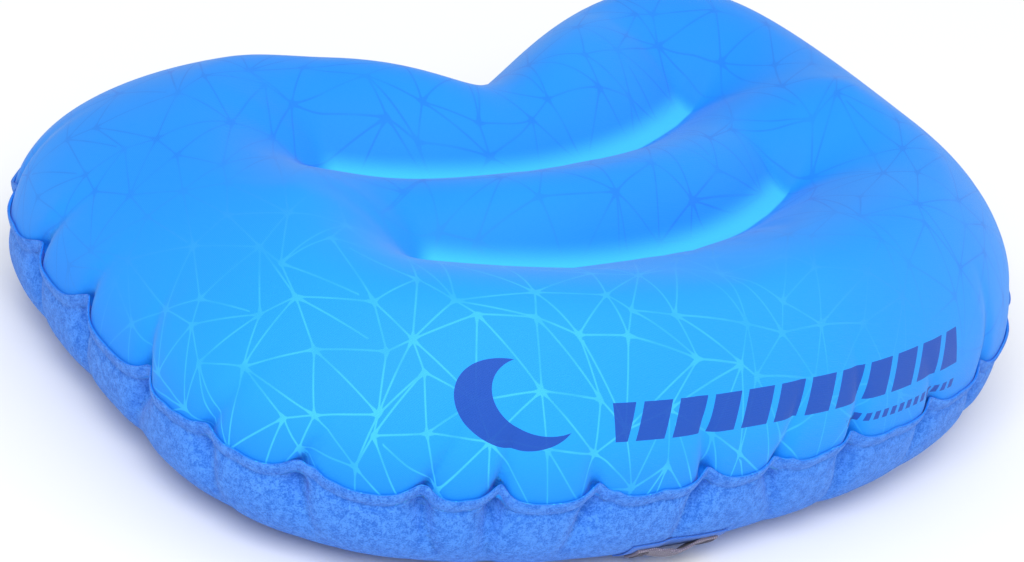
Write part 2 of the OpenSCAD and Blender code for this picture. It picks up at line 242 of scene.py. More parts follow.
top_share, top_run = spread(flat_share, dome_height)
x, y = on_plan(top_share)
off_rear = (grid_az - math.pi / 2 + math.pi) % (2 * math.pi) - math.pi
notch = np.exp(-((off_rear / NOTCH_SPREAD) ** 2))
z = seam_z + dome_height(top_share) * (1 - NOTCH_SINK * top_share**2 * notch)
for weld, slope_behind in zip(WELDS, SLOPE_BEHIND):
    strip = WELD_Z + np.clip(weld_place(x, y, weld)[0], 0, WELD_WIDTH) * WELD_SLOPE
    z += (strip - z) * valley(x, y, weld, SLOPE_FRONT, slope_behind)
top = np.stack([x, y, z], -1)
under_share, under_run = spread(flat_share, bowl_height)
x, y = on_plan(under_share)
z = np.maximum(bowl_height(under_share), np.minimum(seam_z, valve_flat(x, y)))
for weld in WELDS:
    z += (WELD_LIFT - z) * valley(x, y, weld, UNDER_SLOPE, UNDER_SLOPE)
under = np.stack([x, y, z], -1)
print("length of profile, top and under:", round(top_run / MM), round(under_run / MM), "mm")

# %% [markdown]
# ## Puckers
# A flat cut can't follow the round rim, so the spare length gathers into puckers about every 34 mm.
# At each one the seam jumps up and in to a point, and a crease runs a little way up the top and a
# dark valley down the wall. Between them the fabric bulges and the seam sags. Each pucker has its own
# place, strength and lean, drawn from a seeded list.

# %% Places of the puckers
PUCKERS, RIPPLES = 29, 60
rng = np.random.default_rng(7)
pucker_at = (np.arange(PUCKERS) + rng.uniform(-0.2, 0.2, PUCKERS)) * rim_length / PUCKERS
pucker_size = rng.uniform(0.6, 1.15, PUCKERS)
pucker_lean = rng.uniform(-0.35, 0.35, PUCKERS)
pucker_long = rng.uniform(0.7, 1.5, PUCKERS)
ripple_at = rng.uniform(0, rim_length, RIPPLES)
ripple_size = rng.uniform(0.08, 0.28, RIPPLES)


def run_at(az):
    return np.interp(az % (2 * math.pi), rim_az, rim_run)


def gap_to(run, places):
    return (run[..., None] - places + rim_length / 2) % rim_length - rim_length / 2


def seam_rise(run):
    """Height of the seam over its mean: points at the puckers, a sag between them"""
    main = (pucker_size * np.exp(-np.abs(gap_to(run, pucker_at)) / (4.5 * MM))).sum(-1)
    small = (ripple_size * np.exp(-np.abs(gap_to(run, ripple_at)) / (3 * MM))).sum(-1)
    return (main + small) * 7 * MM - 2.4 * MM


def crease(run, depth, width, length, lean):
    """Strength of the creases at a run along the rim and a depth from the seam"""
    gap = gap_to(run, pucker_at) - pucker_lean * lean * depth[..., None]
    fade = np.exp(-((depth[..., None] / (length * pucker_long)) ** 2))
    return (pucker_size * np.exp(-((np.abs(gap) / width) ** 1.3)) * fade).sum(-1)


# %% Pull the seam into points and the panels into creases
def grid_normals(points):
    du = np.gradient(points, axis=1)
    dv = np.gradient(points, axis=0)
    normal = np.cross(du, dv)
    return normal / np.maximum(np.linalg.norm(normal, axis=-1, keepdims=True), 1e-12)


run = run_at(grid_az)
outward = np.stack([np.cos(grid_az), np.sin(grid_az), np.zeros_like(grid_az)], -1)
top_depth = (1 - flat_share) * top_run
under_depth = (1 - flat_share) * under_run
top_normal, under_normal = grid_normals(top), -grid_normals(under)


def pucker(points, normals, depth, crease_deep, crease_wide, crease_long, bulge, rise_reach):
    rise = seam_rise(run) * np.exp(-((depth / rise_reach) ** 1.2))
    folds = crease(run, depth, crease_wide, crease_long, 1)
    broad = crease(run, depth, 3.2 * crease_wide, 1.5 * crease_long, 1)
    inset = 3.2 * MM * crease(run, depth, 5 * MM, 7 * MM, 0)
    edge_fade = smooth(depth / (3 * MM))
    bulge_fade = np.exp(-((depth / (2.2 * crease_long)) ** 2))
    lobes = bulge * (1 - np.minimum(1, broad)) * bulge_fade * edge_fade
    moved = points + normals * (lobes - crease_deep * folds * edge_fade)[..., None]
    moved[..., 2] += rise
    return moved - outward * inset[..., None]


top_made = pucker(top, top_normal, top_depth, 3.2 * MM, 2.6 * MM, 17 * MM, 1.8 * MM, 15 * MM)
under_made = pucker(under, under_normal, under_depth, 4.6 * MM, 3.4 * MM, 16 * MM, 1.0 * MM, 13 * MM)
under_made[..., 2] = np.maximum(under_made[..., 2], under[..., 2].min())

# %% [markdown]
# ## One closed bag
# Both grids are joined along the seam into one closed bag, which holds the air. Every point also
# keeps its place in the cut, because the print follows the fabric and not the room.

# %% Join the two grids
index = np.arange(edge.size).reshape(edge.shape)
under_index = index + edge.size
under_index[edge] = index[edge]
points = np.concatenate([top_made.reshape(-1, 3), under_made.reshape(-1, 3)])
cut_run = flat_share[..., None] * np.stack([np.cos(grid_az), np.sin(grid_az)], -1)
reach_of = reach(grid_az, flat_back)[..., None]
cut_top = cut_run * (reach_of + (top_run - MEAN_REACH))
cut = np.concatenate([cut_top.reshape(-1, 2), cut_top.reshape(-1, 2)])


def quads(numbers, flip):
    corners = [numbers[:-1, :-1], numbers[:-1, 1:], numbers[1:, 1:], numbers[1:, :-1]]
    faces = np.stack(corners, -1).reshape(-1, 4)
    return faces[:, ::-1] if flip else faces


bag_faces = np.concatenate([quads(index, False), quads(under_index, True)])
top_count = len(bag_faces) // 2
used = np.unique(bag_faces)
renumber = np.zeros(len(points), int)
renumber[used] = np.arange(len(used))
points, cut, bag_faces = points[used], cut[used], renumber[bag_faces]
is_rim = np.zeros(len(used), bool)
is_rim[renumber[index[edge]]] = True
print("bag:", len(points), "points,", len(bag_faces), "faces")


# %% Make the bag a mesh
def mesh_object(name, points, faces):
    mesh = bpy.data.meshes.new(name)
    mesh.from_pydata(points.tolist(), [], [list(map(int, f)) for f in faces])
    mesh.update()
    piece = bpy.data.objects.new(name, mesh)
    bpy.context.scene.collection.objects.link(piece)
    return piece


def positions(mesh):
    flat = np.zeros(len(mesh.vertices) * 3, np.float32)
    mesh.vertices.foreach_get("co", flat)
    return flat.reshape(-1, 3).astype(float)


bag = mesh_object("bag", points, bag_faces)

# %% [markdown]
# ## Settle it under pressure
# The shape is nearly right already, so a short run of the Cloth modifier only evens it out: pressure
# pushes every face, and the points move about a tenth of a millimetre on average and two at most.
# The welds, the valve and the part on the ground are pinned, the rim is held, and the rest is held
# weakly. The cut is a little larger than the made shape round the rim, where the fabric is loose.

# %% Pins and cut size
FRAMES, PRESSURE, MOST_MOVE = 24, 3.0, 7 * MM
is_top = np.zeros(len(points), bool)
is_top[np.unique(bag_faces[:top_count])] = True
pins = np.where(is_top, 0.02, 0.05)
pins[is_rim] = 0.35
for weld in WELDS:
    behind, past = weld_place(points[:, 0], points[:, 1], weld)
    pins[(behind > -0.5 * MM) & (behind < WELD_WIDTH) & (past < 0)] = 1
off_valve = points - VALVE
pins[~is_top & (np.linalg.norm(off_valve, axis=1) < 25 * MM)] = 1
pins[~is_top & (points[:, 2] < 0.6 * MM)] = 1


def inflate(piece, pins, spare, pressure, frames, most):
    """Cloth with pressure, applied to the mesh; no point moves further than most"""
    start = positions(piece.data)
    middle = np.array([0, pole_y, seam_z])
    piece.shape_key_add(name="Basis")
    cut_key = piece.shape_key_add(name="cut")
    grown = middle + (start - middle) * (1 + spare[:, None])
    cut_key.data.foreach_set("co", grown.astype(np.float32).ravel())
    group = piece.vertex_groups.new(name="held")
    for weight in np.unique(pins):
        group.add(np.flatnonzero(pins == weight).tolist(), float(weight), "REPLACE")
    cloth = piece.modifiers.new("Cloth", "CLOTH")
    settings = cloth.settings
    settings.quality = 6
    settings.mass = 0.12
    settings.tension_stiffness = settings.compression_stiffness = 30
    settings.shear_stiffness = 12
    settings.bending_stiffness = 0.25
    settings.air_damping = 3
    settings.use_pressure = True
    settings.uniform_pressure_force = pressure
    settings.vertex_group_mass = "held"
    settings.pin_stiffness = 1
    settings.rest_shape_key = cut_key
    settings.effector_weights.gravity = 0
    cloth.point_cache.frame_end = frames
    for step in range(1, frames + 1):
        bpy.context.scene.frame_set(step)
    solved = piece.evaluated_get(bpy.context.evaluated_depsgraph_get())
    moved = positions(solved.data) - start
    piece.modifiers.remove(cloth)
    piece.shape_key_clear()
    bpy.context.scene.frame_set(1)
    length = np.linalg.norm(moved, axis=1, keepdims=True)
    mean_move, most_move = float(length.mean()) / MM, float(length.max()) / MM
    print("cloth moved", round(mean_move, 2), "mm on average,", round(most_move, 2), "mm at most")
    return start + moved * np.minimum(1, most / np.maximum(length, 1e-9))


from_rim = np.concatenate([top_depth.ravel(), under_depth.ravel()])[used]
spare = 0.02 + 0.05 * np.exp(-((from_rim / (35 * MM)) ** 2))
points = inflate(bag, pins, spare, PRESSURE, FRAMES, MOST_MOVE)
points[:, 2] = np.maximum(points[:, 2], 0)
bag.data.vertices.foreach_set("co", points.astype(np.float32).ravel())

# %% [markdown]
# ## Finer fabric
# One subdivision rounds the faces. The seam is marked as a sharp crease first, so it stays a line.

# %% Subdivide the bag
uv_layer = bag.data.uv_layers.new(name="cut")
loop_points = np.zeros(len(bag.data.loops), np.int32)
bag.data.loops.foreach_get("vertex_index", loop_points)
uv_layer.data.foreach_set("uv", cut[loop_points].astype(np.float32).ravel())
rim_crease = bag.data.attributes.new("crease_edge", "FLOAT", "EDGE")
edge_ends = np.zeros(len(bag.data.edges) * 2, np.int32)
bag.data.edges.foreach_get("vertices", edge_ends)
rim_crease.data.foreach_set("value", is_rim[edge_ends.reshape(-1, 2)].all(1).astype(np.float32))
finer = bag.modifiers.new("Finer", "SUBSURF")
finer.levels = finer.render_levels = 1
fine_mesh = bpy.data.meshes.new_from_object(bag.evaluated_get(bpy.context.evaluated_depsgraph_get()))
fine = positions(fine_mesh)
fine_faces = np.zeros(len(fine_mesh.polygons) * 4, np.int32)
fine_mesh.polygons.foreach_get("vertices", fine_faces)
fine_faces = fine_faces.reshape(-1, 4)
fine_uv = np.zeros(len(fine_faces) * 8, np.float32)
fine_mesh.uv_layers[0].data.foreach_get("uv", fine_uv)
fine_uv = fine_uv.reshape(-1, 4, 2)
top_fine = len(fine_faces) // 2
point_uv = np.zeros((len(fine), 2))
point_uv[fine_faces.ravel()] = fine_uv.reshape(-1, 2)
bpy.data.objects.remove(bag)
print("fine bag:", len(fine), "points")

# %% [markdown]
# ## Press the creases in
# The coarse grid and the subdivision soften the creases, but in the welded laminate they stay: each
# runs from a point of the seam, as a soft fold up the top and as a narrow leaning valley down the
# wall.

# %% Creases on the finer fabric
VALVE_AROUND = 30 * MM
fine_normal = np.zeros(len(fine) * 3, np.float32)
fine_mesh.vertices.foreach_get("normal", fine_normal)
fine_normal = fine_normal.reshape(-1, 3).astype(float)
fine_az = np.arctan2(point_uv[:, 1], point_uv[:, 0])
fine_share = np.linalg.norm(point_uv, axis=1) / (reach(fine_az, flat_back) + top_run - MEAN_REACH)
on_top = np.zeros(len(fine), bool)
on_top[np.unique(fine_faces[:top_fine])] = True
fine_depth = np.clip(1 - fine_share, 0, 1) * np.where(on_top, top_run, under_run)
fine_run = run_at(fine_az)
edge_fade = smooth(fine_depth / (2.5 * MM))
fold = np.where(on_top, 2.4 * MM, 3.4 * MM) * edge_fade
pressed = np.where(
    on_top,
    crease(fine_run, fine_depth, 2.2 * MM, 18 * MM, 1),
    crease(fine_run, fine_depth, 2.6 * MM, 17 * MM, 1.4),
)
shoulder = crease(fine_run, fine_depth, 7 * MM, 16 * MM, 1.2) * 0.9 * MM * edge_fade
still = np.linalg.norm(fine - VALVE, axis=1) < VALVE_AROUND
fine += fine_normal * np.where(still, 0, shoulder - fold * pressed)[:, None]
fine[:, 2] = np.maximum(fine[:, 2], 0)

# %% [markdown]
# ## The valve's hole
# The underside is open round the valve's boss. The points nearest the circle are moved onto it, so
# the edge is round, and the faces inside are left out.

# %% Open the hole
HOLE_R, EDGE_REACH = 15.1 * MM, 0.6 * MM
under_points = np.unique(fine_faces[top_fine:])
off = fine - VALVE
off -= np.outer(off @ VALVE_NORMAL, VALVE_NORMAL)
gap = np.linalg.norm(off, axis=1)
around = np.zeros(len(fine), bool)
around[under_points] = np.linalg.norm(fine[under_points] - VALVE, axis=1) < VALVE_AROUND
close = around & (np.abs(gap - HOLE_R) < EDGE_REACH)
fine[close] += off[close] * (HOLE_R / gap[close] - 1)[:, None]
inside = around & ~close & (gap < HOLE_R)
under_faces = fine_faces[top_fine:]
under_faces = under_faces[~inside[under_faces].any(1)]
print("hole:", int(inside.sum()), "points left out")

# %% [markdown]
# ## The welded lip
# Past the seam both fabrics run on as one welded lip about 6 mm wide. It leaves the wall, curls up
# against the top, and follows every pucker. Each panel gets its own layer of it.

# %% Rows of the lip
rim_points = np.intersect1d(fine_faces[:top_fine], fine_faces[top_fine:])
rim_turn = np.arctan2(fine[rim_points, 1] - pole_y, fine[rim_points, 0])
rim_points = rim_points[np.argsort(rim_turn)]
rim_turn = np.sort(rim_turn)
rim_co = fine[rim_points]
step = rim(rim_turn + 0.01) - rim(rim_turn - 0.01)
rim_out = np.stack([step[:, 1], -step[:, 0], np.zeros(len(step))], -1)
rim_out /= np.linalg.norm(rim_out, axis=1, keepdims=True)
rim_gap = np.abs(gap_to(run_at(rim_turn), pucker_at))
pinch = np.minimum(1, (pucker_size * np.exp(-rim_gap / (3.5 * MM))).sum(-1))
LIP_ROWS = 4


def lip_rows(side_offset):
    """Rows of points from the seam to the lip's edge; side_offset moves the layer up and in"""
    rows, at = [], rim_co.copy()
    for row in range(1, LIP_ROWS + 1):
        tilt = np.radians(52 + 6 * row) + 0.2 * pinch
        along = rim_out * np.cos(tilt)[:, None] + np.array([0, 0, 1]) * np.sin(tilt)[:, None]
        across = -rim_out * np.sin(tilt)[:, None] + np.array([0, 0, 1]) * np.cos(tilt)[:, None]
        at = at + along * (LIP / LIP_ROWS * (1 - 0.2 * pinch))[:, None]
        rows.append(at + across * side_offset)
    return rows


# %% Build both panels with their lips
CLOTH = 0.45 * MM


def panel(name, faces, flip, side_offset):
    rows = lip_rows(side_offset)
    used = np.unique(faces)
    lookup = np.zeros(len(fine), int)
    lookup[used] = np.arange(len(used))
    points = np.concatenate([fine[used], *rows])
    outer = point_uv[rim_points]
    outer_way = outer / np.linalg.norm(outer, axis=1, keepdims=True)
    lip_uv = [outer + outer_way * LIP * (i + 1) / LIP_ROWS for i in range(LIP_ROWS)]
    uv = np.concatenate([point_uv[used], *lip_uv])
    ring = np.arange(len(rim_points))
    rings = [lookup[rim_points]] + [len(used) + i * len(ring) + ring for i in range(LIP_ROWS)]
    strips = []
    for inner, outer in zip(rings, rings[1:]):
        strip = np.stack([inner, np.roll(inner, -1), np.roll(outer, -1), outer], -1)
        strips.append(strip if flip else strip[:, ::-1])
    faces = np.concatenate([lookup[faces], *strips])
    piece = mesh_object(name, points, faces)
    layer = piece.data.uv_layers.new(name="cut")
    corner = np.zeros(len(piece.data.loops), np.int32)
    piece.data.loops.foreach_get("vertex_index", corner)
    layer.data.foreach_set("uv", uv[corner].astype(np.float32).ravel())
    return piece


top_piece = panel("top_fabric", fine_faces[:top_fine], False, CLOTH)
under_piece = panel("under_fabric", under_faces, True, -CLOTH)

# %% Give both panels their thickness
def thicken(piece):
    bpy.ops.object.select_all(action="DESELECT")
    bpy.context.view_layer.objects.active = piece
    piece.select_set(True)
    wall = piece.modifiers.new("Wall", "SOLIDIFY")
    wall.thickness = CLOTH
    wall.offset = -1
    bpy.ops.object.modifier_apply(modifier="Wall")
    bpy.ops.object.shade_smooth()
    print(piece.name, len(piece.data.polygons), "faces")


thicken(top_piece)
thicken(under_piece)


# %% [markdown]
# ## Materials
# A small helper builds node graphs in a few words, so each fabric reads as a recipe.

# %% Graph helper
def srgb(r, g, b):
    """Linear colour of an 8-bit screen colour"""
    def linear(c):
        c /= 255
        return c / 12.92 if c <= 0.04045 else ((c + 0.055) / 1.055) ** 2.4
    return (linear(r), linear(g), linear(b), 1)


class Graph:
    """A material's node graph; sockets and plain numbers are both taken as inputs"""
    def __init__(self, name):
        self.material = bpy.data.materials.new(name)
        self.material.use_nodes = True
        self.nodes, self.links = self.material.node_tree.nodes, self.material.node_tree.links
        self.nodes.clear()

    def add(self, kind, inputs=(), **settings):
        made = self.nodes.new("ShaderNode" + kind)
        for key, value in settings.items():
            setattr(made, key, value)
        pairs = inputs.items() if isinstance(inputs, dict) else enumerate(inputs)
        for key, value in pairs:
            if isinstance(value, bpy.types.NodeSocket):
                self.links.new(value, made.inputs[key])
            elif value is not None:
                made.inputs[key].default_value = value
        return made

    def math(self, operation, *inputs, clamp=False):
        return self.add("Math", inputs, operation=operation, use_clamp=clamp).outputs[0]

    def vector(self, operation, *inputs):
        made = self.add("VectorMath", inputs, operation=operation)
        return made.outputs["Value" if operation in ("DOT_PRODUCT", "LENGTH", "DISTANCE") else "Vector"]

    def between(self, value, low, high, to_low=0.0, to_high=1.0):
        """value's place between low and high, smoothed, as to_low to to_high"""
        inputs = {0: value, 1: low, 2: high, 3: to_low, 4: to_high}
        return self.add("MapRange", inputs, interpolation_type="SMOOTHSTEP").outputs[0]

    def mix(self, factor, first, second):
        made = self.add("Mix", {0: factor, 6: first, 7: second}, data_type="RGBA")
        return made.outputs[2]

    def noise(self, where, scale, detail=2.0, roughness=0.5):
        inputs = {"Vector": where, "Scale": scale, "Detail": detail, "Roughness": roughness}
        return self.add("TexNoise", inputs).outputs[0]

    def object_place(self):
        return self.add("TexCoord").outputs["Object"]

    def finish(self, colour, roughness, bump=None, bump_depth=0.0002, **shader):
        inputs = {"Base Color": colour, "Roughness": roughness}
        inputs.update({key.replace("_", " "): value for key, value in shader.items()})
        if bump is not None:
            bump_node = self.add("Bump", {"Height": bump, "Distance": bump_depth, "Strength": 1.0})
            inputs["Normal"] = bump_node.outputs[0]
        surface = self.add("BsdfPrincipled", inputs)
        self.add("OutputMaterial", {0: surface.outputs[0]})
        return self.material


# %% [markdown]
# ## The printed web on the top
# The knit is printed with a web of thin lines that join scattered stars, like a sketched mesh. The
# shader builds it from a grid of cells: each cell owns one star at a hashed place, and lines join it
# to the stars of the next cells and across one diagonal. The distance to the nearest line gives the
# ink, so the lines stay sharp at any size.

# %% Web of lines
CELL = 19 * MM
JITTER = 0.78


def web_distance(g, where):
    """Distance to the nearest line of the web, in cells, thinner away from the stars"""
    cell = g.vector("FLOOR", where)

    def corner(i, j):
        return g.vector("ADD", cell, (i, j, 0.0))

    def hashed(i, j, offset):
        seed = g.vector("ADD", corner(i, j), (offset, offset, 0.0))
        return g.add("TexWhiteNoise", {"Vector": seed}, noise_dimensions="3D")

    stars = {}
    for i in range(-1, 3):
        for j in range(-1, 3):
            random = hashed(i, j, 0.5).outputs["Color"]
            middle = (-JITTER / 2, -JITTER / 2, 0.0)
            shift = g.vector("MULTIPLY_ADD", random, (JITTER, JITTER, 0.0), middle)
            stars[i, j] = g.vector("MULTIPLY", g.vector("ADD", corner(i, j), shift), (1.0, 1.0, 0.0))
    lines = [((i, j), (i + 1, j)) for i in (-1, 0, 1) for j in (0, 1)]
    lines += [((i, j), (i, j + 1)) for j in (-1, 0, 1) for i in (0, 1)]
    ends = [(stars[a], stars[b]) for a, b in lines]
    for i, j in ((-1, -1), (0, -1), (-1, 0), (0, 0), (1, 0), (0, 1), (1, 1)):
        flip = g.math("GREATER_THAN", hashed(i, j, 7.25).outputs["Value"], 0.5)
        diagonal_from = g.mix(flip, stars[i, j], stars[i + 1, j])
        diagonal_to = g.mix(flip, stars[i + 1, j + 1], stars[i, j + 1])
        ends.append((diagonal_from, diagonal_to))
    nearest = None
    for first, second in ends:
        span = g.vector("SUBTRACT", second, first)
        reach_to = g.vector("SUBTRACT", where, first)
        along, whole = g.vector("DOT_PRODUCT", reach_to, span), g.vector("DOT_PRODUCT", span, span)
        share = g.math("DIVIDE", along, whole, clamp=True)
        scaled = g.add("VectorMath", {0: span, "Scale": share}, operation="SCALE").outputs[0]
        away = g.vector("LENGTH", g.vector("SUBTRACT", reach_to, scaled))
        to_end = g.math("MINIMUM", share, g.math("SUBTRACT", 1.0, share))
        flare = g.between(to_end, 0.0, 0.14, 0.03, 0.0)
        away = g.math("SUBTRACT", away, flare)
        nearest = away if nearest is None else g.math("MINIMUM", nearest, away)
    return nearest


# %% Painted highlight on the weld strips, and the printed mark
def weld_strip_highlight(g, x, y):
    """Painted highlight: 1 on both weld strips, sharp in front, soft behind"""
    strips = 0.0
    for middle_y, radius, length in WELDS:
        to_centre = g.math("SUBTRACT", y, middle_y + radius)
        squared = g.math("ADD", g.math("MULTIPLY", x, x), g.math("MULTIPLY", to_centre, to_centre))
        behind = g.math("SUBTRACT", radius, g.math("SQRT", squared))
        along = g.math("ABSOLUTE", g.math("ARCTAN2", x, g.math("MULTIPLY", to_centre, -1.0)))
        ends = g.between(along, (length / 2 - 6 * MM) / radius, (length / 2 + 2 * MM) / radius, 1.0, 0.0)
        front_edge = g.between(behind, -0.4 * MM, 0.5 * MM)
        rear_edge = g.between(behind, 3 * MM, 11 * MM, 1.0, 0.0)
        band = g.math("MULTIPLY", front_edge, rear_edge)
        strips = g.math("MAXIMUM", strips, g.math("MULTIPLY", band, ends))
    return strips


MARK_ROW = (-62 * MM, 96 * MM, 57 * MM, 69 * MM)
SMALL_ROW = (36 * MM, 96 * MM, 48.5 * MM, 51.5 * MM)
MOON = (-94 * MM, 67 * MM, 13 * MM)


def printed_mark(g, x, z, y):
    """1 on a plain moon and two rows of plain slanted bars across the front"""
    level = g.math("ADD", z, g.math("MULTIPLY", x, 0.04))
    slanted = g.math("SUBTRACT", x, g.math("MULTIPLY", level, 0.35))

    def row(bounds, pitch, filled):
        left, right, low, high = bounds
        share = g.math("FRACT", g.math("DIVIDE", g.math("SUBTRACT", slanted, left), pitch))
        after_start = g.math("GREATER_THAN", share, 0.5 - filled / 2)
        bar = g.math("MULTIPLY", after_start, g.math("LESS_THAN", share, 0.5 + filled / 2))
        inside = g.math("MULTIPLY", g.math("GREATER_THAN", x, left), g.math("LESS_THAN", x, right))
        inside = g.math("MULTIPLY", inside, g.math("GREATER_THAN", level, low))
        return g.math("MULTIPLY", g.math("MULTIPLY", inside, g.math("LESS_THAN", level, high)), bar)

    def disc(across, height, r):
        off_x = g.math("DIVIDE", g.math("SUBTRACT", x, across), 1.5)
        off_z = g.math("SUBTRACT", level, height)
        squared = g.math("ADD", g.math("MULTIPLY", off_x, off_x), g.math("MULTIPLY", off_z, off_z))
        return g.math("LESS_THAN", squared, r * r)

    moon_x, moon_z, moon_r = MOON
    bite = disc(moon_x + 9 * MM, moon_z + 3 * MM, moon_r * 0.85)
    moon = g.math("SUBTRACT", disc(moon_x, moon_z, moon_r), bite, clamp=True)
    printed = g.math("MAXIMUM", row(MARK_ROW, 14 * MM, 0.78), row(SMALL_ROW, 4.2 * MM, 0.6))
    printed = g.math("MAXIMUM", printed, moon)
    return g.math("MULTIPLY", printed, g.math("LESS_THAN", y, -70 * MM))


# %% Top fabric
def top_fabric():
    g = Graph("printed_stretch_knit")
    cut_place = g.add("UVMap", uv_map="cut").outputs[0]
    here = g.object_place()
    to_cells = {"Vector": cut_place, "Rotation": (0, 0, 0.5), "Scale": (1 / CELL, 1 / CELL, 0)}
    flat = g.add("Mapping", to_cells).outputs[0]
    ink = g.between(web_distance(g, flat), 0.008, 0.026, 1.0, 0.0)
    ink = g.math("MULTIPLY", ink, g.between(g.noise(flat, 0.9), 0.35, 0.6, 0.45, 1.0))
    x, y, z = g.add("SeparateXYZ", {0: here}).outputs
    # Painted light: the ground is painted darker towards the rear, away from the key light, as painted
    # shade; the lines are paler than the ground towards the front left and deeper towards the rear, and
    # show stronger at the front, partly a printed gradient and partly painted sheen
    lead = g.math("ADD", g.math("MULTIPLY", x, 1.2), g.math("MULTIPLY", y, 2.2))
    print_and_shade_to_rear = g.between(lead, -0.3, -0.05)
    ground = g.mix(print_and_shade_to_rear, srgb(14, 148, 238), srgb(8, 134, 234))
    # Painted shade: the ground is painted darker low down, where the top turns down to the seam
    painted_seam_shade = g.between(z, 0.036, 0.062, 1.0, 0.0)
    ground = g.mix(g.math("MULTIPLY", painted_seam_shade, 0.5), ground, srgb(4, 116, 230))
    patchy = g.math("MULTIPLY", g.between(g.noise(here, 9.0), 0.3, 0.7), 0.15)
    ground = g.mix(patchy, ground, srgb(26, 164, 248))
    line = g.mix(print_and_shade_to_rear, srgb(56, 184, 250), srgb(4, 106, 216))
    colour = g.mix(g.math("MULTIPLY", ink, g.between(lead, -0.38, -0.2, 0.9, 0.5)), ground, line)
    # Painted highlight: the weld strips are painted light cyan, as lit bands facing the key light
    colour = g.mix(weld_strip_highlight(g, x, y), colour, srgb(54, 188, 252))
    colour = g.mix(g.math("MULTIPLY", printed_mark(g, x, z, y), 0.94), colour, srgb(12, 66, 168))
    columns = {"Vector": cut_place, "Scale": 700.0, "Distortion": 1.5, "Detail": 1.0, "Detail Scale": 2.0}
    knit = g.add("TexWave", columns, bands_direction="X").outputs["Fac"]
    courses = {"Vector": cut_place, "Scale": 460.0, "Distortion": 1.0}
    rows = g.add("TexWave", courses, bands_direction="Y").outputs["Fac"]
    weave = g.math("ADD", g.math("MULTIPLY", knit, 0.6), g.math("MULTIPLY", rows, 0.4))
    shine = {"Sheen_Weight": 0.12, "Sheen_Roughness": 0.4, "Specular_IOR_Level": 0.3}
    return g.finish(colour, 0.62, weave, 0.00006, **shine)


# %% Under fabric
def under_fabric():
    g = Graph("brushed_heather_knit")
    here = g.object_place()
    fleck = g.noise(here, 1500.0, 3.0, 0.7)
    melange = g.noise(here, 420.0, 3.0, 0.65)
    soft = g.noise(here, 18.0, 2.0)
    tone = g.math("ADD", g.math("MULTIPLY", fleck, 0.55), g.math("MULTIPLY", melange, 0.45))
    colour = g.mix(g.between(tone, 0.38, 0.62), srgb(38, 104, 204), srgb(80, 148, 240))
    colour = g.mix(g.math("MULTIPLY", g.between(soft, 0.35, 0.65), 0.18), colour, srgb(58, 130, 230))
    pile = g.math("ADD", fleck, g.math("MULTIPLY", melange, 0.8))
    shine = {"Sheen_Weight": 0.12, "Sheen_Roughness": 0.5, "Specular_IOR_Level": 0.15}
    return g.finish(colour, 0.9, pile, 0.0004, **shine)


top_material = top_fabric()
under_material = under_fabric()
top_piece.data.materials.append(top_material)
under_piece.data.materials.append(under_material)
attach(top_piece, "root")
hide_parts("top_panel")
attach(under_piece, "root")
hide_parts("bottom_panel")

# %% [markdown]
# ## Lash loops
# Each loop is a strip of webbing that lies on a patch on the fabric and bows out between its sewn
# ends. Patch and webbing are laid on the finished fabric by finding the nearest point under each of
# their own points. The ends are held by bars of close stitches.

# %% Lay strips on the fabric
LOOP_HALF, TAB, LOOP_WIDTH, BOW = 11 * MM, 6 * MM, 10 * MM, 2.4 * MM
PATCH_RIM, PATCH_THICK, WEB_THICK, TACK_THICK = 3 * MM, 0.5 * MM, 1 * MM, 0.35 * MM
fabric_tree = bvhtree.BVHTree.FromPolygons(fine.tolist(), under_faces.tolist())
mounts = {mount["name"]: mount for mount in frame["record"]["mounts"]}


def lay(name, mount, along, across, lift):
    """A strip over the fabric at a mount; lift is its clearance at each place along it"""
    centre, upward = Vector(mount["pos_m"]), Vector(mount["axis"]).normalized()
    edge_way = Vector((0, 0, 1)).cross(upward).normalized()
    out = edge_way.cross(upward)
    out = -out if out.z > 0 else out
    points = []
    for a, clear in zip(along, lift):
        for w in across:
            place = fabric_tree.find_nearest(centre + edge_way * a + upward * w)[0]
            points.append(place + out * clear)
    count = len(across)
    faces = [(i * count + j, i * count + j + 1, (i + 1) * count + j + 1, (i + 1) * count + j)
             for i in range(len(along) - 1) for j in range(count - 1)]
    side_a, side_b = points[1] - points[0], points[count] - points[0]
    if side_a.cross(side_b).dot(out) <= 0:
        faces = [face[::-1] for face in faces]
    return mesh_object(name, np.array(points), faces)


def solid(piece, thickness, bevel):
    bpy.ops.object.select_all(action="DESELECT")
    bpy.context.view_layer.objects.active = piece
    piece.select_set(True)
    wall = piece.modifiers.new("Wall", "SOLIDIFY")
    wall.thickness, wall.offset = thickness, 1
    bpy.ops.object.modifier_apply(modifier="Wall")
    round_edge = piece.modifiers.new("Edge", "BEVEL")
    round_edge.width, round_edge.segments, round_edge.angle_limit = bevel, 2, math.radians(50)
    bpy.ops.object.modifier_apply(modifier="Edge")
    bpy.ops.object.shade_smooth()


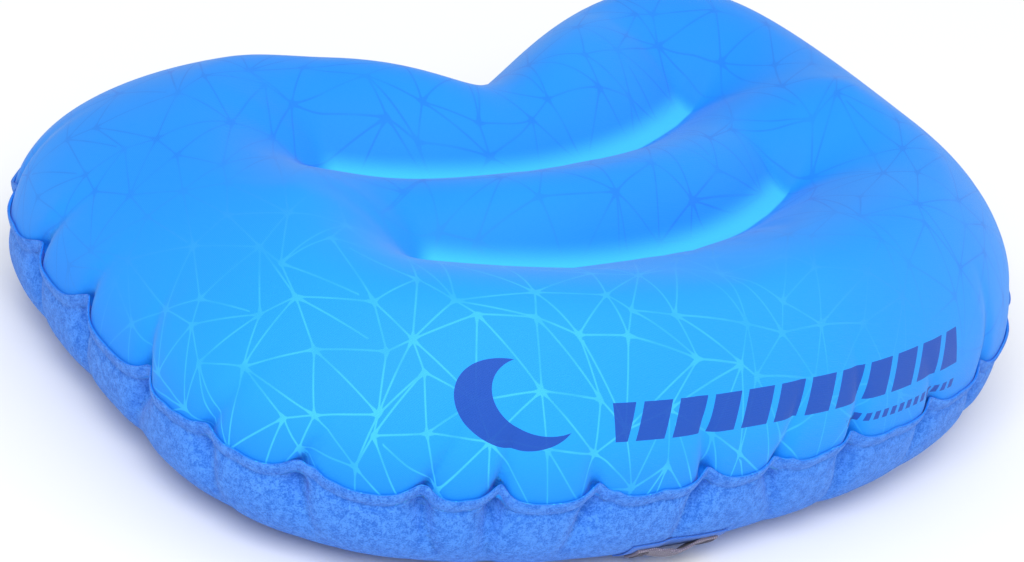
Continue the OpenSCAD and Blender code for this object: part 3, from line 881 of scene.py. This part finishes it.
PATCH_POINTS = 29
PATCH_CLEAR, SEWN_CLEAR = 0.2 * MM, 0.25 * MM
STITCHES = 9
STITCH_PITCH = 0.42 * MM
STITCH_WIDE = 0.32 * MM
made_strips = {"patch": [], "web": [], "tack": []}
for place in ("front", "rear"):
    mount = mounts[place + "_lash_loop"]
    whole = LOOP_HALF + TAB
    along = np.linspace(-whole - PATCH_RIM, whole + PATCH_RIM, PATCH_POINTS)
    across = np.linspace(-LOOP_WIDTH / 2 - PATCH_RIM, LOOP_WIDTH / 2 + PATCH_RIM, 11)
    patch = lay(place + "_patch", mount, along, across, np.full(PATCH_POINTS, PATCH_CLEAR))
    solid(patch, PATCH_THICK, 0.15 * MM)
    along = np.linspace(-whole, whole, 41)
    bow = np.where(np.abs(along) < LOOP_HALF, BOW * (1 + np.cos(np.pi * along / LOOP_HALF)) / 2, 0)
    across = np.linspace(-LOOP_WIDTH / 2, LOOP_WIDTH / 2, 9)
    web = lay(place + "_webbing", mount, along, across, SEWN_CLEAR + PATCH_THICK + bow)
    solid(web, WEB_THICK, 0.3 * MM)
    tacks = []
    for end in (-1, 1):
        for i in range(STITCHES):
            middle = end * (LOOP_HALF + TAB / 2 + (i - STITCHES // 2) * STITCH_PITCH)
            stitch_at = middle + np.array([-0.5, 0.5]) * STITCH_WIDE
            across = np.linspace(-0.4, 0.4, 7) * LOOP_WIDTH
            bar = lay("stitch", mount, stitch_at, across, np.full(2, SEWN_CLEAR + PATCH_THICK + WEB_THICK))
            solid(bar, TACK_THICK, 0.1 * MM)
            tacks.append(bar)
    bpy.ops.object.select_all(action="DESELECT")
    for stitch in tacks:
        stitch.select_set(True)
    bpy.context.view_layer.objects.active = tacks[0]
    bpy.ops.object.join()
    tacks[0].name = place + "_stitches"
    sewn = [
        ("patch", patch, "_loop_patch", "patch_fabric"),
        ("web", web, "_lash_loop", "webbing"),
        ("tack", tacks[0], "_bar_tacks", "thread"),
    ]
    for kind, piece, node, slot in sewn:
        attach(piece, "root")
        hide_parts(place + node)
        made_strips[kind].append(piece)
print("loops laid on the fabric")

# %% [markdown]
# ## The hard parts, webbing and inner webs
# Moulded plastic gets a faint grain and worn, slightly paler tone changes; woven pieces get crossed
# threads; the inner webs are thin film with a fine crossed scrim.

# %% Materials of the CAD nodes
def moulded(name, dark, pale, roughness, grain, **shader):
    g = Graph(name)
    here = g.object_place()
    colour = g.mix(g.between(g.noise(here, 60.0, 3.0), 0.35, 0.65), dark, pale)
    speck = g.noise(here, 2600.0, 2.0, 0.6)
    rough = g.math("ADD", roughness, g.math("MULTIPLY", g.noise(here, 140.0, 3.0), 0.12))
    return g.finish(colour, rough, speck, grain, **shader)


def woven(name, dark, pale, pitch, turn, depth):
    g = Graph(name)
    turned = g.add("Mapping", {"Vector": g.object_place(), "Rotation": turn}).outputs[0]
    scale = 0.314 / pitch
    lengthwise = {"Vector": turned, "Scale": scale, "Distortion": 0.6, "Detail Scale": 2.0}
    warp = g.add("TexWave", lengthwise, bands_direction="X")
    crosswise = {"Vector": turned, "Scale": scale * 1.4, "Distortion": 0.6}
    weft = g.add("TexWave", crosswise, bands_direction="Y")
    threads = g.math("MULTIPLY", warp.outputs["Fac"], weft.outputs["Fac"])
    fuzz = g.noise(turned, 1800.0, 2.0, 0.6)
    tone = g.math("ADD", g.math("MULTIPLY", threads, 0.7), g.math("MULTIPLY", fuzz, 0.3))
    return g.finish(g.mix(tone, dark, pale), 0.85, tone, depth, Sheen_Weight=0.2, Specular_IOR_Level=0.2)


soft_plastic = moulded("satin_tpu", srgb(48, 55, 66), srgb(66, 74, 88), 0.42, 0.00003)
hard_plastic = moulded("satin_hard_plastic", srgb(66, 75, 88), srgb(84, 94, 108), 0.32, 0.00002)
orange_plastic = moulded("button_plastic", srgb(222, 82, 40), srgb(238, 104, 60), 0.35, 0.00002)
silicone = moulded("flap_silicone", srgb(205, 212, 218), srgb(228, 232, 236), 0.5, 0.00002)
film = woven("laminated_film", srgb(186, 202, 216), srgb(214, 226, 236), 1.4 * MM, (0, 0, 0.4), 0.00003)
patch_cloth = woven("patch_weave", srgb(34, 92, 190), srgb(72, 136, 226), 0.5 * MM, (0, 0, 0), 0.00008)
webbing = woven("webbing_weave", srgb(84, 78, 96), srgb(164, 156, 176), 0.9 * MM, (0, 0, 0), 0.00025)
thread = woven("bar_tack_thread", srgb(62, 58, 74), srgb(120, 114, 134), 0.35 * MM, (0, 0, 0), 0.0002)
dressed = {
    soft_plastic: ["valve_base", "plug_tether", "cap_tether"],
    hard_plastic: ["valve_plug", "valve_cap"],
    orange_plastic: ["tune_button"],
    silicone: ["air_flap"],
    film: ["rear_baffle", "front_baffle"],
}
for material, nodes in dressed.items():
    for node in nodes:
        frame["nodes"][node].data.materials.clear()
        frame["nodes"][node].data.materials.append(material)
for kind, material in (("patch", patch_cloth), ("web", webbing), ("tack", thread)):
    for piece in made_strips[kind]:
        piece.data.materials.append(material)

# %% [markdown]
# ## Floor and light
# A plain pale floor, a large soft key from the front left and above, and an even sky.

# %% Stage
bpy.ops.mesh.primitive_plane_add(size=8, location=(0, 0, -0.0005))
floor = bpy.context.object
floor.name = "floor"
floor_graph = Graph("pale_floor")
floor.data.materials.append(floor_graph.finish((0.86, 0.87, 0.88, 1), 0.9))
world = bpy.data.worlds.new("sky")
bpy.context.scene.world = world
world.use_nodes = True
world.node_tree.nodes["Background"].inputs[0].default_value = (1, 1, 1, 1)
world.node_tree.nodes["Background"].inputs[1].default_value = 0.75


def area_light(name, place, size, power):
    bpy.ops.object.light_add(type="AREA", location=place)
    lamp = bpy.context.object
    lamp.name = name
    lamp.data.size = size
    lamp.data.energy = power
    lamp.rotation_euler = (Vector((0, 0, 0.05)) - Vector(place)).to_track_quat("-Z", "Y").to_euler()


area_light("key", (-0.9, -0.9, 1.5), 1.2, 26)
area_light("fill", (1.4, -0.8, 0.9), 1.5, 6)
